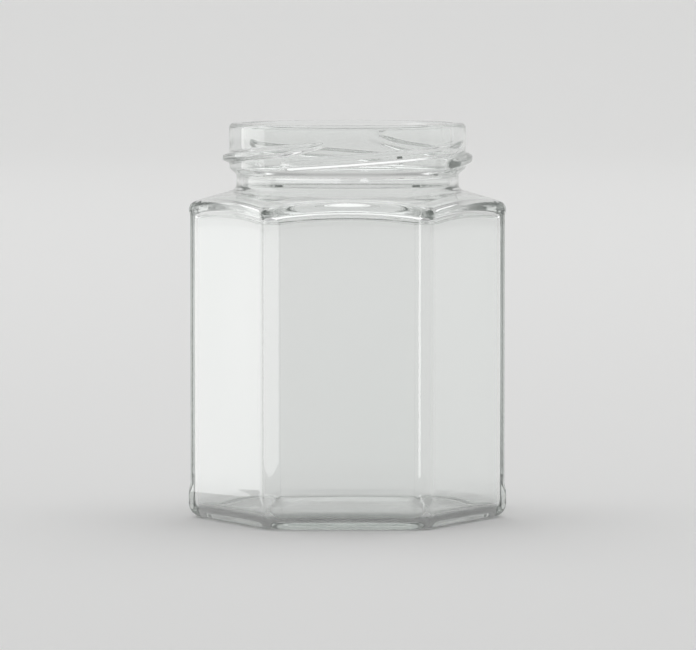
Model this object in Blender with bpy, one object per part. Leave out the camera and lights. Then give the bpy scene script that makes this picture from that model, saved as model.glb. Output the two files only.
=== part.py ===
"""An empty six-sided glass jar with a round screw neck, standing on its base ring.

The jar is one piece of glass. Its wall is worked out column by column: each
column is the jar's profile at one angle round the axis, running from the
middle of the underside, up the outside, over the lip and down the inside to
the middle of the floor. Neighbouring columns are then joined with faces.
Two corners of the hexagon lie on the X axis, and a flat side faces -Y.
"""

import math

import bmesh
import bpy

MM = 0.001

# Heights above the surface that the jar stands on
JAR_HEIGHT = 98.0 * MM
HEEL_RISE = 3.4 * MM
HEEL_BAND_TOP = 5.4 * MM
PANEL_BOTTOM = 9.0 * MM

# Hexagonal body, outside: half the distance across flats, and the corner radius.
# The corners are rounded along the panels and narrow to nearly sharp at the heel.
PANEL_APOTHEM = 34.45 * MM
PANEL_CORNER = 5.0 * MM
HEEL_APOTHEM = 34.5 * MM
HEEL_CORNER = 2.1 * MM
SHOULDER_STEP = 0.3 * MM
PANEL_TOP_BLEND = 1.6 * MM

# Hexagonal body, inside
INNER_APOTHEM = 31.85 * MM
INNER_CORNER = 4.3 * MM
FLOOR_FILLET = 2.6 * MM
FLOOR_HEIGHT = 2.0 * MM
FLOOR_CROWN = 0.4 * MM

# Underside: a rounded hexagonal ring round a shallow push-up
BASE_RING_APOTHEM = 32.2 * MM
BASE_RING_CORNER = 9.0 * MM
BASE_RING_WIDTH = 2.2 * MM
PUSH_UP = 0.7 * MM

# Shoulder: a shallow cone round the jar's axis that cuts the six sides in arches
SHOULDER_SLOPE = math.radians(16.7)
SHOULDER_DEPTH = 16.76 * MM
SHOULDER_ROUNDING = 2.2 * MM
SHOULDER_GLASS = 2.8 * MM
INNER_SHOULDER_ROUNDING = 3.2 * MM
INNER_NECK_ROUNDING = 3.0 * MM

# Neck and lip, with depths measured down from the lip
LIP_RADIUS = 29.3 * MM
LIP_ROUNDING = 1.2 * MM
BORE_RADIUS = 25.6 * MM
BORE_LIP_ROUNDING = 0.9 * MM
NECK_LAND_END = 10.9 * MM
NECK_WAIST_START = 13.0 * MM
NECK_WAIST_RADIUS = 27.55 * MM
NECK_WAIST_MIDDLE = 14.1 * MM
NECK_ROOT_ROUNDING = 1.6 * MM

# Screw thread: equal ridges that overlap round the neck and rise to the right
THREAD_STARTS = 4
THREAD_HEIGHT = 1.65 * MM
THREAD_HALF_WIDTH = 1.45 * MM
THREAD_CREST_SHARE = 0.3
THREAD_DEPTH_AT_SIDES = 8.7 * MM
THREAD_RISE_PER_TURN = 13.6 * MM
THREAD_LOW_END = math.radians(-34.0)
THREAD_LOW_TAPER = math.radians(8.0)
THREAD_HIGH_END = math.radians(79.0)
THREAD_HIGH_TAPER = math.radians(20.0)
THREAD_HIGH_LIFT = 1.1 * MM
THREAD_HIGH_NARROWING = 0.5
THREAD_ZONE_START = 4.0 * MM

# How finely the surface is divided
SIDES = 6
CORNER_STEPS = 4
FLAT_STEPS = 8
THREAD_ROWS = 14
ROUNDING_STEPS = 5
SMALL_ROUNDING_STEPS = 4
UNDERSIDE_ROWS = (0.35, 0.62, 0.82, 0.94)
CORNER_TAPER_ROWS = (0.3, 0.5, 0.7, 1.0)
FLOOR_ROWS = (0.66, 0.33)
SHARP_EDGE = math.radians(40.0)

GLASS_COLOUR = (0.93, 0.95, 0.94, 1.0)
GLASS_IOR = 1.52


def lerp(start, end, share):
    return start + (end - start) * share


def smooth_step(value):
    value = min(max(value, 0.0), 1.0)
    return value * value * (3.0 - 2.0 * value)


def wrap_angle(angle):
    """The same angle between minus half a turn and half a turn."""
    return (angle + math.pi) % math.tau - math.pi


def corner_reach(apothem, corner_radius):
    """Distance from the axis to the centre of a corner's rounding, and the polar angle where it ends."""
    centre = (apothem - corner_radius) / math.cos(math.pi / SIDES)
    half_turn = math.pi / SIDES
    along = centre + corner_radius * math.cos(half_turn)
    across = corner_radius * math.sin(half_turn)
    return centre, math.atan2(across, along)


def hexagon_radius(angle, apothem, corner_radius):
    """Polar radius of a hexagon with rounded corners and one corner on the X axis."""
    sector = math.tau / SIDES
    from_corner = abs((angle + sector / 2) % sector - sector / 2)
    centre, corner_end = corner_reach(apothem, corner_radius)
    if from_corner >= corner_end:
        return apothem / math.cos(sector / 2 - from_corner)
    sideways = centre * math.sin(from_corner)
    return centre * math.cos(from_corner) + math.sqrt(corner_radius ** 2 - sideways ** 2)


def outside_radius(angle, step=0.0):
    """Radius of the outer wall, moved out by a step."""
    return hexagon_radius(angle, PANEL_APOTHEM + step, PANEL_CORNER + step)


def heel_radius(angle):
    return hexagon_radius(angle, HEEL_APOTHEM, HEEL_CORNER)


def ring_radius(angle):
    return hexagon_radius(angle, BASE_RING_APOTHEM, BASE_RING_CORNER)


def inside_radius(angle):
    return hexagon_radius(angle, INNER_APOTHEM, INNER_CORNER)


def shoulder_height(radius, below=0.0):
    """Height of the shoulder's cone at a radius, less a glass thickness taken at right angles to it."""
    start_radius = LIP_RADIUS - LIP_ROUNDING / 4
    top = JAR_HEIGHT - SHOULDER_DEPTH
    drop = (radius - start_radius) * math.tan(SHOULDER_SLOPE)
    return top - drop - below / math.cos(SHOULDER_SLOPE)


def arc(centre, size, start, end, steps):
    """Points on an arc in the plane of radius and height, from one angle to another."""
    points = []
    for index in range(steps + 1):
        turn = lerp(start, end, index / steps)
        points.append((centre[0] + size * math.cos(turn), centre[1] + size * math.sin(turn)))
    return points


def underside_profile(angle):
    """The shallow push-up under the floor, from near its middle out to the base ring."""
    ring = ring_radius(angle)
    inner_edge = ring - BASE_RING_WIDTH
    points = []
    for share in UNDERSIDE_ROWS:
        points.append((share * inner_edge, PUSH_UP * (1.0 - share ** 3)))
    points.append((inner_edge, 0.0))
    points.append((ring, 0.0))
    return points


def heel_profile(angle):
    """A quarter ellipse from the base ring out to the heel band."""
    ring = ring_radius(angle)
    heel = heel_radius(angle)
    points = []
    for index in range(1, ROUNDING_STEPS + 1):
        turn = math.pi / 2 * index / ROUNDING_STEPS
        reach = lerp(ring, heel, math.sin(turn))
        points.append((reach, HEEL_RISE * (1.0 - math.cos(turn))))
    points.append((heel, HEEL_BAND_TOP))
    return points


def panel_profile(angle, shoulder_start):
    """The corners opening out above the heel, the flat label panel, and the blend to the shoulder band."""
    points = []
    for share in CORNER_TAPER_ROWS:
        eased = smooth_step(share)
        apothem = lerp(HEEL_APOTHEM, PANEL_APOTHEM, eased)
        corner = lerp(HEEL_CORNER, PANEL_CORNER, eased)
        height = lerp(HEEL_BAND_TOP, PANEL_BOTTOM, share)
        points.append((hexagon_radius(angle, apothem, corner), height))
    panel_top = shoulder_start - PANEL_TOP_BLEND
    points.append((outside_radius(angle), lerp(PANEL_BOTTOM, panel_top, 0.5)))
    for share in (0.0, 0.5):
        step = SHOULDER_STEP * smooth_step(share)
        points.append((outside_radius(angle, step), lerp(panel_top, shoulder_start, share)))
    return points


def shoulder_profile(angle):
    """The rounded top edge of the body, the cone above it, and the hollow at the neck's root."""
    edge = outside_radius(angle, SHOULDER_STEP)
    inwards = edge - SHOULDER_ROUNDING
    centre = (inwards, shoulder_height(inwards, SHOULDER_ROUNDING))
    quarter = math.pi / 2 - SHOULDER_SLOPE
    points = arc(centre, SHOULDER_ROUNDING, 0.0, quarter, ROUNDING_STEPS)
    root_radius = NECK_WAIST_RADIUS + NECK_ROOT_ROUNDING
    root_centre = (root_radius, shoulder_height(root_radius, -NECK_ROOT_ROUNDING))
    root = arc(root_centre, NECK_ROOT_ROUNDING, math.pi + quarter, math.pi, SMALL_ROUNDING_STEPS)
    for share in (1 / 3, 2 / 3):
        reach = lerp(points[-1][0], root[0][0], share)
        points.append((reach, shoulder_height(reach)))
    return points + root


def thread_rise(angle, depth):
    """How far the threads stand out from the neck at an angle and a depth below the lip."""
    rise = 0.0
    for start in range(THREAD_STARTS):
        along = wrap_angle(angle - math.tau * start / THREAD_STARTS)
        if not THREAD_LOW_END < along < THREAD_HIGH_END:
            continue
        low_end = smooth_step((along - THREAD_LOW_END) / THREAD_LOW_TAPER)
        ramp = max(0.0, (along - THREAD_HIGH_END + THREAD_HIGH_TAPER) / THREAD_HIGH_TAPER)
        centre = THREAD_DEPTH_AT_SIDES - THREAD_RISE_PER_TURN * along / math.tau
        centre -= THREAD_HIGH_LIFT * ramp
        half_width = THREAD_HALF_WIDTH * (1.0 - THREAD_HIGH_NARROWING * ramp)
        across = abs(depth - centre) / half_width
        flank = smooth_step((1.0 - across) / (1.0 - THREAD_CREST_SHARE))
        rise = max(rise, THREAD_HEIGHT * flank * low_end * (1.0 - smooth_step(ramp)))
    return rise


def neck_profile(angle):
    """The waist, the land that carries the threads, and the plain ring below the lip."""
    points = [(NECK_WAIST_RADIUS, JAR_HEIGHT - NECK_WAIST_MIDDLE)]
    for share in (0.0, 1 / 3, 2 / 3):
        reach = lerp(NECK_WAIST_RADIUS, LIP_RADIUS, smooth_step(share))
        depth = lerp(NECK_WAIST_START, NECK_LAND_END, share)
        points.append((reach, JAR_HEIGHT - depth))
    for index in range(THREAD_ROWS + 1):
        depth = lerp(NECK_LAND_END, THREAD_ZONE_START, index / THREAD_ROWS)
        points.append((LIP_RADIUS + thread_rise(angle, depth), JAR_HEIGHT - depth))
    return points


def lip_profile():
    """The rounded lip, from the outside over the top to the inside."""
    outer_centre = (LIP_RADIUS - LIP_ROUNDING, JAR_HEIGHT - LIP_ROUNDING)
    inner_centre = (BORE_RADIUS + BORE_LIP_ROUNDING, JAR_HEIGHT - BORE_LIP_ROUNDING)
    points = arc(outer_centre, LIP_ROUNDING, 0.0, math.pi / 2, SMALL_ROUNDING_STEPS)
    points += arc(inner_centre, BORE_LIP_ROUNDING, math.pi / 2, math.pi, SMALL_ROUNDING_STEPS)
    return points


def inner_profile(angle):
    """The bore, the underside of the shoulder, the inner wall and the floor."""
    quarter = math.pi / 2 - SHOULDER_SLOPE
    neck_radius = BORE_RADIUS + INNER_NECK_ROUNDING
    neck_height = shoulder_height(neck_radius, SHOULDER_GLASS - INNER_NECK_ROUNDING)
    neck_centre = (neck_radius, neck_height)
    points = arc(neck_centre, INNER_NECK_ROUNDING, math.pi, math.pi + quarter, SMALL_ROUNDING_STEPS)
    wall = inside_radius(angle)
    edge_radius = wall - INNER_SHOULDER_ROUNDING
    edge_height = shoulder_height(edge_radius, SHOULDER_GLASS + INNER_SHOULDER_ROUNDING)
    edge_centre = (edge_radius, edge_height)
    points += arc(edge_centre, INNER_SHOULDER_ROUNDING, quarter, 0.0, SMALL_ROUNDING_STEPS)
    fillet_centre = (wall - FLOOR_FILLET, FLOOR_HEIGHT + FLOOR_FILLET)
    points.append((wall, lerp(edge_height, fillet_centre[1], 0.5)))
    points += arc(fillet_centre, FLOOR_FILLET, 0.0, -math.pi / 2, ROUNDING_STEPS)
    for share in FLOOR_ROWS:
        points.append((share * fillet_centre[0], FLOOR_HEIGHT + FLOOR_CROWN * (1.0 - share ** 2)))
    return points


def jar_profile(angle):
    """The whole profile at one angle, without the two points on the axis."""
    shoulder = shoulder_profile(angle)
    points = underside_profile(angle)
    points += heel_profile(angle)
    points += panel_profile(angle, shoulder[0][1])
    points += shoulder
    points += neck_profile(angle)
    points += lip_profile()
    points += inner_profile(angle)
    return points


def column_angles():
    """Angles of the columns: close together round each corner, wider along each flat side."""
    sector = math.tau / SIDES
    _, corner_end = corner_reach(PANEL_APOTHEM, PANEL_CORNER)
    angles = []
    for side in range(SIDES):
        corner = sector * side
        for step in range(CORNER_STEPS):
            angles.append(corner + lerp(-corner_end, corner_end, step / CORNER_STEPS))
        for step in range(FLAT_STEPS):
            share = step / FLAT_STEPS
            angles.append(corner + lerp(corner_end, sector - corner_end, share))
    return angles


def make_glass():
    glass = bpy.data.materials.new("clear_glass")
    glass.use_nodes = True
    shader = glass.node_tree.nodes["Principled BSDF"]
    shader.inputs["Base Color"].default_value = GLASS_COLOUR
    shader.inputs["Metallic"].default_value = 0.0
    shader.inputs["Roughness"].default_value = 0.02
    shader.inputs["IOR"].default_value = GLASS_IOR
    shader.inputs["Transmission Weight"].default_value = 1.0
    return glass


def make_jar():
    mesh = bmesh.new()
    columns = []
    for angle in column_angles():
        across, along = math.cos(angle), math.sin(angle)
        column = []
        for radius, height in jar_profile(angle):
            column.append(mesh.verts.new((radius * across, radius * along, height)))
        columns.append(column)
    underside_middle = mesh.verts.new((0.0, 0.0, PUSH_UP))
    floor_middle = mesh.verts.new((0.0, 0.0, FLOOR_HEIGHT + FLOOR_CROWN))
    for here, beside in zip(columns, columns[1:] + columns[:1]):
        mesh.faces.new((underside_middle, beside[0], here[0]))
        for row in range(len(here) - 1):
            mesh.faces.new((here[row], beside[row], beside[row + 1], here[row + 1]))
        mesh.faces.new((floor_middle, here[-1], beside[-1]))
    data = bpy.data.meshes.new("glass_jar")
    mesh.to_mesh(data)
    mesh.free()
    data.shade_smooth()
    data.set_sharp_from_angle(angle=SHARP_EDGE)
    data.materials.append(make_glass())
    jar = bpy.data.objects.new("glass_jar", data)
    bpy.context.scene.collection.objects.link(jar)


def clear_scene():
    for leftover in list(bpy.data.objects):
        bpy.data.objects.remove(leftover)


clear_scene()
make_jar()
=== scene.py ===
import math

import bpy
import numpy as np
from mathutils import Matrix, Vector


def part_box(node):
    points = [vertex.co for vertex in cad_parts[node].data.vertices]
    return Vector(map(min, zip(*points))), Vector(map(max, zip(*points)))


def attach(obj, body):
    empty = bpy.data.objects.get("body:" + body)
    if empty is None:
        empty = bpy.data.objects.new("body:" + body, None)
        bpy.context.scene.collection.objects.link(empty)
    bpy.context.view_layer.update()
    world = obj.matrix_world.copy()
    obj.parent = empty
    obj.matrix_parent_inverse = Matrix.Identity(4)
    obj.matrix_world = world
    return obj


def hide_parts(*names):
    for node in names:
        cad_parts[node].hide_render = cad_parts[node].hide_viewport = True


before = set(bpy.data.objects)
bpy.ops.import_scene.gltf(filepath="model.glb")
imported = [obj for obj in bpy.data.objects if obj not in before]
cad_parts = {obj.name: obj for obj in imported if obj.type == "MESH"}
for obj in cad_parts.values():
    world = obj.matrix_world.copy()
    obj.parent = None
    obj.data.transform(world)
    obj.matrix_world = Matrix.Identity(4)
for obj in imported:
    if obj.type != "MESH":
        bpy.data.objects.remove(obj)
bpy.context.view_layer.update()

mm = 0.001
print("frame loaded:", sorted(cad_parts))


# Small helpers

def blendTo(start, end, share):  # straight mix of two values
    return start + (end - start) * share


def smoothStep(value):  # 3v^2 - 2v^3, held to 0 and 1
    value = np.clip(value, 0.0, 1.0)
    return value * value * (3.0 - 2.0 * value)


def steps(count, first=0.0, last=1.0, closed=True):  # shares as one column, for rows of a grid
    return np.linspace(first, last, count, endpoint=closed)[:, None]


def linkObject(name, data):
    thing = bpy.data.objects.new(name, data)
    bpy.context.scene.collection.objects.link(thing)
    return thing


# The jar: one closed skin of glass, in millimetres turned to metres

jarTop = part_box("glass_jar")[1][2]      # the frame gives the height

jarForm = {
    "panelApothem": 34.45 * mm,         # hexagonal body, outside
    "panelCorner": 5.0 * mm,
    "heelApothem": 34.5 * mm,           # the corners narrow to nearly sharp at the heel
    "heelCorner": 2.1 * mm,
    "heelRise": 3.4 * mm,
    "heelBandTop": 5.4 * mm,
    "panelBottom": 9.0 * mm,
    "shoulderStep": 0.3 * mm,
    "panelTopBlend": 1.6 * mm,
    "innerApothem": 31.85 * mm,         # hexagonal body, inside
    "innerCorner": 4.3 * mm,
    "floorFillet": 2.6 * mm,
    "floorHeight": 2.0 * mm,
    "floorCrown": 0.4 * mm,
    "ringApothem": 32.2 * mm,           # the rounded hexagonal ring that it stands on
    "ringCorner": 9.0 * mm,
    "ringWidth": 2.2 * mm,
    "pushUp": 0.7 * mm,
    "pushUpPower": 3,                   # a higher power keeps its middle flatter
    "shoulderSlope": math.radians(16.7),
    "shoulderStart": 29.0 * mm,         # the radius at which the slope is shoulderDepth below the lip
    "shoulderDepth": 16.76 * mm,
    "shoulderRounding": 2.2 * mm,
    "shoulderGlass": 2.8 * mm,
    "innerShoulderRounding": 3.2 * mm,
    "innerNeckRounding": 3.0 * mm,
    "lipRadius": 29.3 * mm,             # neck and lip, depths counted down from the lip
    "lipRounding": 1.2 * mm,
    "boreRadius": 25.6 * mm,
    "boreLipRounding": 0.9 * mm,
    "landEnd": 10.9 * mm,
    "waistStart": 13.0 * mm,
    "waistRadius": 27.55 * mm,
    "waistMiddle": 14.1 * mm,
    "rootRounding": 1.6 * mm,
    "sides": 6,
}

threadForm = {
    "starts": 4,
    "height": 1.65 * mm,
    "halfWidth": 1.45 * mm,
    "crestShare": 0.3,
    "depthAtSides": 8.7 * mm,
    "risePerTurn": 13.6 * mm,
    "lowEnd": math.radians(-34.0),
    "lowTaper": math.radians(8.0),
    "highEnd": math.radians(79.0),
    "highTaper": math.radians(20.0),
    "highLift": 1.1 * mm,
    "highNarrowing": 0.5,
    "zoneStart": 4.0 * mm,
}

wallForm = {
    "sag": 0.12 * mm,
    "sagReach": 0.38,                   # as a share of one side's width
    "wave": 0.035 * mm,
    "wavesRound": 5,
    "drift": 3.1,
    "finerWavesRound": 11,
    "finerDrift": 5.3,
    "finerShare": 0.5,
}

jarGrid = {
    "cornerColumns": 16,                # per corner of the hexagon
    "flatColumns": 40,                  # per flat side
    "cornerReach": math.radians(6.0),
    "underside": 16,
    "ring": 6,
    "heel": 14,
    "cornerTaper": 14,
    "panel": 20,
    "panelBlend": 5,
    "shoulderFillet": 12,
    "shoulder": 10,
    "root": 10,
    "waist": 8,
    "thread": 44,
    "lip": 10,
    "bore": 12,
    "innerFillet": 12,
    "floor": 14,
}


def gridAngles():  # columns close together round each corner, wider along each flat
    sector = math.tau / jarForm["sides"]
    reach = jarGrid["cornerReach"]
    corner = np.linspace(-reach, reach, jarGrid["cornerColumns"], endpoint=False)
    flat = np.linspace(reach, sector - reach, jarGrid["flatColumns"], endpoint=False)
    oneSide = np.concatenate([corner, flat])
    starts = sector * np.arange(jarForm["sides"])
    return (starts[:, None] + oneSide[None, :]).ravel()[None, :]


# radius of a rounded hexagon: a / cos on the flats, a circle round each corner's centre;
# the two sizes may differ from row to row
def hexRadius(angle, apothem, corner):
    sector = math.tau / jarForm["sides"]
    half = sector / 2
    fromCorner = np.abs((angle + half) % sector - half)
    centre = (apothem - corner) / math.cos(half)
    cornerEnd = np.arctan2(corner * math.sin(half), centre + corner * math.cos(half))
    flat = apothem / np.cos(half - fromCorner)
    inside = np.maximum(corner ** 2 - (centre * np.sin(fromCorner)) ** 2, 0.0)
    rounded = centre * np.cos(fromCorner) + np.sqrt(inside)
    return np.where(fromCorner >= cornerEnd, flat, rounded)


def outerWall(angle, step):  # a step moves the wall outwards, corner rounding and all
    return hexRadius(angle, jarForm["panelApothem"] + step, jarForm["panelCorner"] + step)


def shoulderHeight(radius, below=0.0):  # the shallow cone, less a thickness square to it
    slope = jarForm["shoulderSlope"]
    top = jarTop - jarForm["shoulderDepth"]
    return top - (radius - jarForm["shoulderStart"]) * math.tan(slope) - below / math.cos(slope)


def arcRows(radius, height, size, turn):  # an arc round a centre that may differ from column to column
    return radius + size * np.cos(turn), height + size * np.sin(turn)


# four ridges round the neck: a smooth bump across, tapered at both ends, the upper end lifted
def threadRise(angle, depth):
    rise = np.zeros(np.broadcast(angle, depth).shape)
    for start in range(threadForm["starts"]):
        along = (angle - math.tau * start / threadForm["starts"] + math.pi) % math.tau - math.pi
        inside = (along > threadForm["lowEnd"]) & (along < threadForm["highEnd"])
        lowEnd = smoothStep((along - threadForm["lowEnd"]) / threadForm["lowTaper"])
        ramp = (along - threadForm["highEnd"] + threadForm["highTaper"]) / threadForm["highTaper"]
        ramp = np.clip(ramp, 0.0, 1.0)
        centre = threadForm["depthAtSides"] - threadForm["risePerTurn"] * along / math.tau
        centre = centre - threadForm["highLift"] * ramp
        halfWidth = threadForm["halfWidth"] * (1.0 - threadForm["highNarrowing"] * ramp)
        across = np.abs(depth - centre) / halfWidth
        flank = smoothStep((1.0 - across) / (1.0 - threadForm["crestShare"]))
        ridge = threadForm["height"] * flank * lowEnd * (1.0 - smoothStep(ramp))
        rise = np.maximum(rise, np.where(inside, ridge, 0.0))
    return rise


# panels sink by a hair in the middle, as cooling glass does: (1 - x^2)^2 across, a squared sine upwards
def panelSag(angle, share):
    sector = math.tau / jarForm["sides"]
    fromFlat = (angle % sector) / sector - 0.5
    across = np.clip(1.0 - (fromFlat / wallForm["sagReach"]) ** 2, 0.0, 1.0) ** 2
    return wallForm["sag"] * across * np.sin(math.pi * share) ** 2


# the inner wall is a little uneven: two slow waves round the jar that drift with height, nought at both ends
def innerWave(angle, share):
    first = np.sin(wallForm["wavesRound"] * angle + wallForm["drift"] * share)
    second = np.sin(wallForm["finerWavesRound"] * angle - wallForm["finerDrift"] * share)
    return wallForm["wave"] * (first + wallForm["finerShare"] * second) * np.sin(math.pi * share) ** 2


def outsideRows(angle):
    form, grid = jarForm, jarGrid
    flatAngle = np.ones_like(angle)
    ringOuter = hexRadius(angle, form["ringApothem"], form["ringCorner"])
    ringInner = ringOuter - form["ringWidth"]
    rows = []
    share = steps(grid["underside"], 1 / grid["underside"], 1.0, closed=False)
    rows.append((share * ringInner, form["pushUp"] * (1.0 - share ** form["pushUpPower"]) * flatAngle))
    share = steps(grid["ring"])
    rows.append((blendTo(ringInner, ringOuter, share), 0.0 * share * flatAngle))
    heel = hexRadius(angle, form["heelApothem"], form["heelCorner"])
    turn = math.pi / 2 * steps(grid["heel"], 1 / grid["heel"], 1.0)
    heelHeight = form["heelRise"] * (1.0 - np.cos(turn))
    rows.append((blendTo(ringOuter, heel, np.sin(turn)), heelHeight * flatAngle))
    share = steps(grid["cornerTaper"])
    apothem = blendTo(form["heelApothem"], form["panelApothem"], smoothStep(share))
    corner = blendTo(form["heelCorner"], form["panelCorner"], smoothStep(share))
    height = blendTo(form["heelBandTop"], form["panelBottom"], share) * flatAngle
    rows.append((hexRadius(angle, apothem, corner), height))
    edge = outerWall(angle, form["shoulderStep"])
    inwards = edge - form["shoulderRounding"]
    filletCentre = shoulderHeight(inwards, form["shoulderRounding"])
    panelTop = filletCentre - form["panelTopBlend"]
    share = steps(grid["panel"], 1 / grid["panel"], 1.0, closed=False)
    sunk = outerWall(angle, 0.0 * share) - panelSag(angle, share)
    rows.append((sunk, blendTo(form["panelBottom"], panelTop, share)))
    share = steps(grid["panelBlend"], closed=False)
    step = form["shoulderStep"] * smoothStep(share)
    rows.append((outerWall(angle, step), blendTo(panelTop, filletCentre, share)))
    quarter = math.pi / 2 - form["shoulderSlope"]
    turn = quarter * steps(grid["shoulderFillet"])
    rows.append(arcRows(inwards, filletCentre, form["shoulderRounding"], turn))
    rootRadius = form["waistRadius"] + form["rootRounding"]
    rootCentre = shoulderHeight(rootRadius, -form["rootRounding"])
    rootStart = rootRadius + form["rootRounding"] * math.cos(math.pi + quarter)
    share = steps(grid["shoulder"], 1 / grid["shoulder"], 1.0, closed=False)
    reach = blendTo(rows[-1][0][-1:], rootStart, share)
    rows.append((reach, shoulderHeight(reach)))
    turn = math.pi + quarter * (1.0 - steps(grid["root"]))
    reach, height = arcRows(rootRadius, rootCentre, form["rootRounding"], turn)
    rows.append((reach * flatAngle, height * flatAngle))
    waist = form["waistRadius"] * flatAngle
    rows.append((waist, (jarTop - form["waistMiddle"]) * flatAngle))
    share = steps(grid["waist"], closed=False)
    reach = blendTo(form["waistRadius"], form["lipRadius"], smoothStep(share))
    depth = blendTo(form["waistStart"], form["landEnd"], share)
    rows.append((reach * flatAngle, (jarTop - depth) * flatAngle))
    depth = blendTo(form["landEnd"], threadForm["zoneStart"], steps(grid["thread"]))
    rows.append((form["lipRadius"] + threadRise(angle, depth), (jarTop - depth) * flatAngle))
    turn = math.pi / 2 * steps(grid["lip"])
    lipCentre = form["lipRadius"] - form["lipRounding"]
    reach, height = arcRows(lipCentre, jarTop - form["lipRounding"], form["lipRounding"], turn)
    rows.append((reach * flatAngle, height * flatAngle))
    return rows


def insideRows(angle):
    form, grid = jarForm, jarGrid
    flatAngle = np.ones_like(angle)
    rows = []
    turn = math.pi / 2 * (1.0 + steps(grid["lip"]))
    boreCentre = form["boreRadius"] + form["boreLipRounding"]
    reach, height = arcRows(boreCentre, jarTop - form["boreLipRounding"], form["boreLipRounding"], turn)
    rows.append((reach * flatAngle, height * flatAngle))
    quarter = math.pi / 2 - form["shoulderSlope"]
    neckRadius = form["boreRadius"] + form["innerNeckRounding"]
    neckCentre = shoulderHeight(neckRadius, form["shoulderGlass"] - form["innerNeckRounding"])
    share = steps(grid["bore"], 1 / grid["bore"], 1.0, closed=False)
    height = blendTo(jarTop - form["boreLipRounding"], neckCentre, share)
    rows.append((form["boreRadius"] * flatAngle + 0.0 * share, height * flatAngle))
    turn = math.pi + quarter * steps(grid["innerFillet"])
    reach, height = arcRows(neckRadius, neckCentre, form["innerNeckRounding"], turn)
    rows.append((reach * flatAngle, height * flatAngle))
    wall = hexRadius(angle, form["innerApothem"], form["innerCorner"])
    edge = wall - form["innerShoulderRounding"]
    edgeHeight = shoulderHeight(edge, form["shoulderGlass"] + form["innerShoulderRounding"])
    turn = quarter * (1.0 - steps(grid["innerFillet"]))
    fillet = arcRows(edge, edgeHeight, form["innerShoulderRounding"], turn)
    share = steps(grid["shoulder"], 1 / grid["shoulder"], 1.0, closed=False)
    rows.append((
        blendTo(rows[-1][0][-1:], fillet[0][:1], share),
        blendTo(rows[-1][1][-1:], fillet[1][:1], share),
    ))
    rows.append(fillet)
    filletHeight = form["floorHeight"] + form["floorFillet"]
    share = steps(grid["panel"], 1 / grid["panel"], 1.0, closed=False)
    rows.append((wall + innerWave(angle, share), blendTo(edgeHeight, filletHeight, share)))
    turn = -math.pi / 2 * steps(grid["floor"])
    rows.append(arcRows(wall - form["floorFillet"], filletHeight * flatAngle, form["floorFillet"], turn))
    share = steps(grid["floor"], 1.0 - 1 / grid["floor"], 1 / grid["floor"])
    reach = share * (wall - form["floorFillet"])
    height = form["floorHeight"] + form["floorCrown"] * (1.0 - share ** 2)
    rows.append((reach, height * flatAngle))
    return rows


# rows go from the middle of the underside, up the outside, over the lip, down to the middle of the floor
def jarPoints():
    angle = gridAngles()
    rows = outsideRows(angle) + insideRows(angle)
    radius = np.vstack([row[0] for row in rows])
    height = np.vstack([row[1] for row in rows])
    return np.stack([radius * np.cos(angle), radius * np.sin(angle), height], axis=-1)


# quads between neighbouring rows and columns, wrapped round, with a fan of triangles at each pole
def closedSkin(name, points, firstPole, lastPole):
    rowCount, columnCount = points.shape[:2]
    index = np.arange(rowCount * columnCount).reshape(rowCount, columnCount)
    beside = np.roll(index, -1, axis=1)
    quads = np.stack([index[:-1], beside[:-1], beside[1:], index[1:]], axis=-1).reshape(-1, 4)
    firstIndex = rowCount * columnCount
    firstFan = np.stack([np.full(columnCount, firstIndex), beside[0], index[0]], axis=-1)
    lastFan = np.stack([np.full(columnCount, firstIndex + 1), index[-1], beside[-1]], axis=-1)
    vertices = np.vstack([points.reshape(-1, 3), [firstPole, lastPole]])
    mesh = bpy.data.meshes.new(name)
    mesh.from_pydata(vertices.tolist(), [], quads.tolist() + firstFan.tolist() + lastFan.tolist())
    mesh.shade_smooth()
    return mesh


glassLook = {
    "ior": 1.52,
    "clear": (0.992, 0.995, 0.993, 1.0),
    "tinged": (0.968, 0.984, 0.975, 1.0),
    "tingeScale": 22.0,
    "tingeDetail": 1.0,
    "absorbColour": (0.70, 0.74, 0.715, 1.0),
    "absorbDensity": 14.0,
    "polished": 0.0,
    "handled": 0.035,
    "hazeScale": 46.0,
    "hazeDetail": 3.0,
    "hazeStart": 0.58,                  # only the noise's higher peaks turn to haze
    "hazeFull": 0.78,
    "rippleScale": 120.0,
    "rippleDetail": 0.0,
    "rippleStretch": (1.0, 1.0, 0.35),
    "rippleStrength": 0.10,
    "rippleDistance": 0.00006,
}


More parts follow.
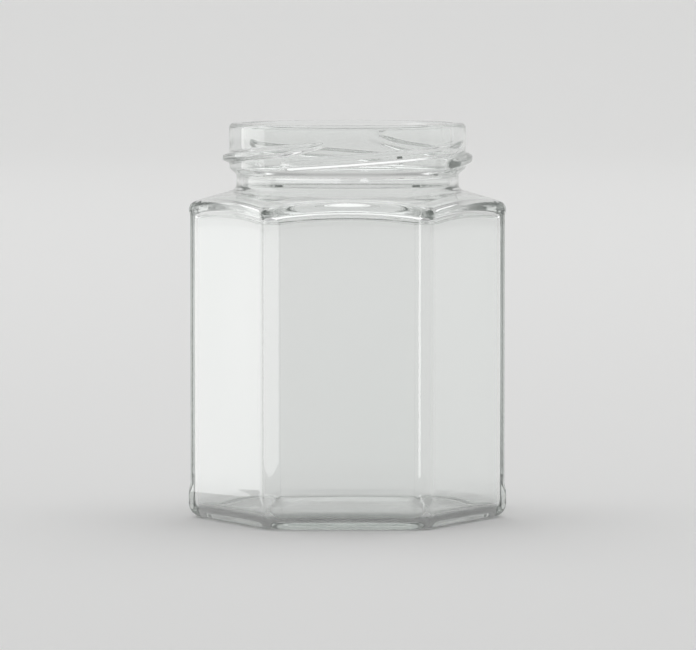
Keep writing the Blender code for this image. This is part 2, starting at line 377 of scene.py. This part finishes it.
# one group for the glass: a slow tinge, faint patches of haze, and long ripples for the bump
def glassDetail():
    group = bpy.data.node_groups.new("glass_detail", "ShaderNodeTree")
    group.interface.new_socket("Tone", in_out="OUTPUT", socket_type="NodeSocketColor")
    group.interface.new_socket("Haze", in_out="OUTPUT", socket_type="NodeSocketFloat")
    group.interface.new_socket("Ripple", in_out="OUTPUT", socket_type="NodeSocketFloat")
    nodes, links = group.nodes, group.links
    place = nodes.new("ShaderNodeTexCoord")
    result = nodes.new("NodeGroupOutput")

    tinge = nodes.new("ShaderNodeTexNoise")
    tinge.inputs["Scale"].default_value = glassLook["tingeScale"]
    tinge.inputs["Detail"].default_value = glassLook["tingeDetail"]
    links.new(place.outputs["Object"], tinge.inputs["Vector"])
    tone = nodes.new("ShaderNodeMix")   # its colour sockets are inputs 6 and 7 and output 2
    tone.data_type = "RGBA"
    tone.inputs[6].default_value = glassLook["clear"]
    tone.inputs[7].default_value = glassLook["tinged"]
    links.new(tinge.outputs["Fac"], tone.inputs[0])
    links.new(tone.outputs[2], result.inputs["Tone"])

    patches = nodes.new("ShaderNodeTexNoise")
    patches.inputs["Scale"].default_value = glassLook["hazeScale"]
    patches.inputs["Detail"].default_value = glassLook["hazeDetail"]
    links.new(place.outputs["Object"], patches.inputs["Vector"])
    haze = nodes.new("ShaderNodeMapRange")
    haze.inputs["From Min"].default_value = glassLook["hazeStart"]
    haze.inputs["From Max"].default_value = glassLook["hazeFull"]
    haze.inputs["To Min"].default_value = glassLook["polished"]
    haze.inputs["To Max"].default_value = glassLook["handled"]
    links.new(patches.outputs["Fac"], haze.inputs["Value"])
    links.new(haze.outputs["Result"], result.inputs["Haze"])

    stretch = nodes.new("ShaderNodeMapping")
    stretch.inputs["Scale"].default_value = glassLook["rippleStretch"]
    links.new(place.outputs["Object"], stretch.inputs["Vector"])
    ripple = nodes.new("ShaderNodeTexNoise")
    ripple.inputs["Scale"].default_value = glassLook["rippleScale"]
    ripple.inputs["Detail"].default_value = glassLook["rippleDetail"]
    links.new(stretch.outputs["Vector"], ripple.inputs["Vector"])
    links.new(ripple.outputs["Fac"], result.inputs["Ripple"])
    return group


def clearGlass():
    glass = bpy.data.materials.new("clear_glass")
    glass.use_nodes = True
    nodes, links = glass.node_tree.nodes, glass.node_tree.links
    shader = nodes["Principled BSDF"]
    shader.inputs["IOR"].default_value = glassLook["ior"]
    shader.inputs["Transmission Weight"].default_value = 1.0
    detail = nodes.new("ShaderNodeGroup")
    detail.node_tree = glassDetail()
    links.new(detail.outputs["Tone"], shader.inputs["Base Color"])
    links.new(detail.outputs["Haze"], shader.inputs["Roughness"])
    bump = nodes.new("ShaderNodeBump")
    bump.inputs["Strength"].default_value = glassLook["rippleStrength"]
    bump.inputs["Distance"].default_value = glassLook["rippleDistance"]
    links.new(detail.outputs["Ripple"], bump.inputs["Height"])
    links.new(bump.outputs["Normal"], shader.inputs["Normal"])
    absorb = nodes.new("ShaderNodeVolumeAbsorption")
    absorb.inputs["Color"].default_value = glassLook["absorbColour"]
    absorb.inputs["Density"].default_value = glassLook["absorbDensity"]
    links.new(absorb.outputs["Volume"], nodes["Material Output"].inputs["Volume"])
    return glass


def makeJar():
    points = jarPoints()
    underside = (0.0, 0.0, jarForm["pushUp"])
    floorMiddle = (0.0, 0.0, jarForm["floorHeight"] + jarForm["floorCrown"])
    mesh = closedSkin("jar_glass", points, underside, floorMiddle)
    mesh.materials.append(clearGlass())
    jar = linkObject("jar_glass", mesh)
    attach(jar, "root")
    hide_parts("glass_jar")
    print("jar:", len(mesh.vertices), "points,", len(mesh.polygons), "faces")


makeJar()


# Stage: a round pale floor that curves up into a wall all round

stageForm = {
    "floorRadius": 3.0,
    "coveRadius": 1.2,
    "wallHeight": 2.6,
    "lift": 0.01 * mm,                  # a hair above the jar's ring, so that the two faces don't flicker
    "colour": (0.92, 0.92, 0.915, 1.0),
    "roughness": 0.9,
    "columns": 96,
    "rows": 24,
}


def studioPaper():
    paper = bpy.data.materials.new("studio_paper")
    paper.use_nodes = True
    shader = paper.node_tree.nodes["Principled BSDF"]
    shader.inputs["Base Color"].default_value = stageForm["colour"]
    shader.inputs["Roughness"].default_value = stageForm["roughness"]
    shader.inputs["Specular IOR Level"].default_value = 0.0
    return paper


# a flat disc, a quarter circle and a straight wall, turned round the upright axis
def makeStage():
    form = stageForm
    angle = np.linspace(0.0, math.tau, form["columns"], endpoint=False)[None, :]
    disc = steps(form["rows"], 1 / form["rows"], 1.0) ** 2 * form["floorRadius"]
    turn = math.pi / 2 * steps(form["rows"], 1 / form["rows"], 1.0)
    coveReach = form["floorRadius"] + form["coveRadius"] * np.sin(turn)
    coveHeight = form["coveRadius"] * (1.0 - np.cos(turn))
    radius = np.vstack([disc, coveReach, coveReach[-1:]])
    height = form["lift"] + np.vstack([0.0 * disc, coveHeight, [[form["wallHeight"]]]])
    around = np.ones_like(angle)
    points = np.stack([radius * np.cos(angle), radius * np.sin(angle), height * around], axis=-1)
    rowCount, columnCount = points.shape[:2]
    index = np.arange(rowCount * columnCount).reshape(rowCount, columnCount)
    beside = np.roll(index, -1, axis=1)
    quads = np.stack([index[:-1], index[1:], beside[1:], beside[:-1]], axis=-1).reshape(-1, 4)
    centre = rowCount * columnCount
    fan = np.stack([np.full(columnCount, centre), index[0], beside[0]], axis=-1)
    mesh = bpy.data.meshes.new("studio_floor")
    vertices = np.vstack([points.reshape(-1, 3), [(0.0, 0.0, form["lift"])]])
    mesh.from_pydata(vertices.tolist(), [], quads.tolist() + fan.tolist())
    mesh.shade_smooth()
    mesh.materials.append(studioPaper())
    floor = linkObject("studio_floor", mesh)
    print("stage: round floor and wall")


makeStage()


# Light

lightForm = {
    "worldTone": 0.41,
    "boxes": {
        "top_light": {
            "at": (0.0, 1.3, 2.6), "lookAt": (0.0, 1.3, 0.0),
            "size": (4.4, 4.4), "power": 46.0, "card": False,
        },
        "left_card": {
            "at": (-0.11, 0.012, 0.1), "lookAt": (0.0, 0.012, 0.1),
            "size": (0.072, 0.2), "power": 0.08, "card": True,
        },
        "corner_card": {
            "at": (-0.095, -0.115, 0.04), "lookAt": (-0.02, -0.034, 0.04),
            "size": (0.2, 0.074), "power": 0.12, "card": True,
        },
        "corner_line_card": {
            "at": (0.0424, -0.151, 0.036), "lookAt": (0.0175, -0.034, 0.036),
            "size": (0.021, 0.068), "power": 0.02, "card": True,
        },
        "right_card": {
            "at": (0.11, 0.012, 0.1), "lookAt": (0.0, 0.012, 0.1),
            "size": (0.072, 0.2), "power": 0.013, "card": True,
        },
    },
}


# a card beside the jar is only mirrored in its glass: it isn't seen through it and lights no floor
def softBox(name, at, lookAt, size, power, card):
    data = bpy.data.lights.new(name, "AREA")
    data.shape = "RECTANGLE"
    data.size, data.size_y = size
    data.energy = power
    light = linkObject(name, data)
    light.location = at
    light.rotation_euler = (Vector(lookAt) - Vector(at)).to_track_quat("-Z", "Y").to_euler()
    light.visible_camera = False
    light.visible_transmission = not card
    light.visible_diffuse = not card


def makeLight():
    world = bpy.data.worlds.new("studio_air")
    bpy.context.scene.world = world
    world.use_nodes = True
    tone = lightForm["worldTone"]
    world.node_tree.nodes["Background"].inputs["Color"].default_value = (tone, tone, tone, 1.0)
    for name, form in lightForm["boxes"].items():
        softBox(name, **form)
    print("light: world and", len(lightForm["boxes"]), "soft boxes")


makeLight()


# Camera: the photograph's long lens, a little above the jar, looking slightly down

cameraForm = {
    "distance": 1.3,
    "sideways": 0.00012,
    "eyeHeight": 0.1294,
    "aimHeight": 0.0478,
    "lens": 271.4,
    "sensor": 36.0,
}


def makeCamera():
    form = cameraForm
    data = bpy.data.cameras.new("photo_camera")
    data.lens = form["lens"]
    data.sensor_width = form["sensor"]
    camera = linkObject("photo_camera", data)
    camera.location = (form["sideways"], -form["distance"], form["eyeHeight"])
    aim = Vector((form["sideways"], 0.0, form["aimHeight"])) - camera.location
    camera.rotation_euler = aim.to_track_quat("-Z", "Y").to_euler()
    bpy.context.scene.camera = camera
    print("camera: lens", form["lens"], "mm")


makeCamera()


# View: plain tones, and enough bounces for light that runs along inside the glass

viewForm = {
    "transform": "Standard",
    "bounces": 40,
    "glassBounces": 32,
}


def setView():
    scene = bpy.context.scene
    scene.view_settings.view_transform = viewForm["transform"]
    scene.cycles.max_bounces = viewForm["bounces"]
    scene.cycles.glossy_bounces = viewForm["glassBounces"]
    scene.cycles.transmission_bounces = viewForm["glassBounces"]
    print("view:", viewForm["transform"])


setView()
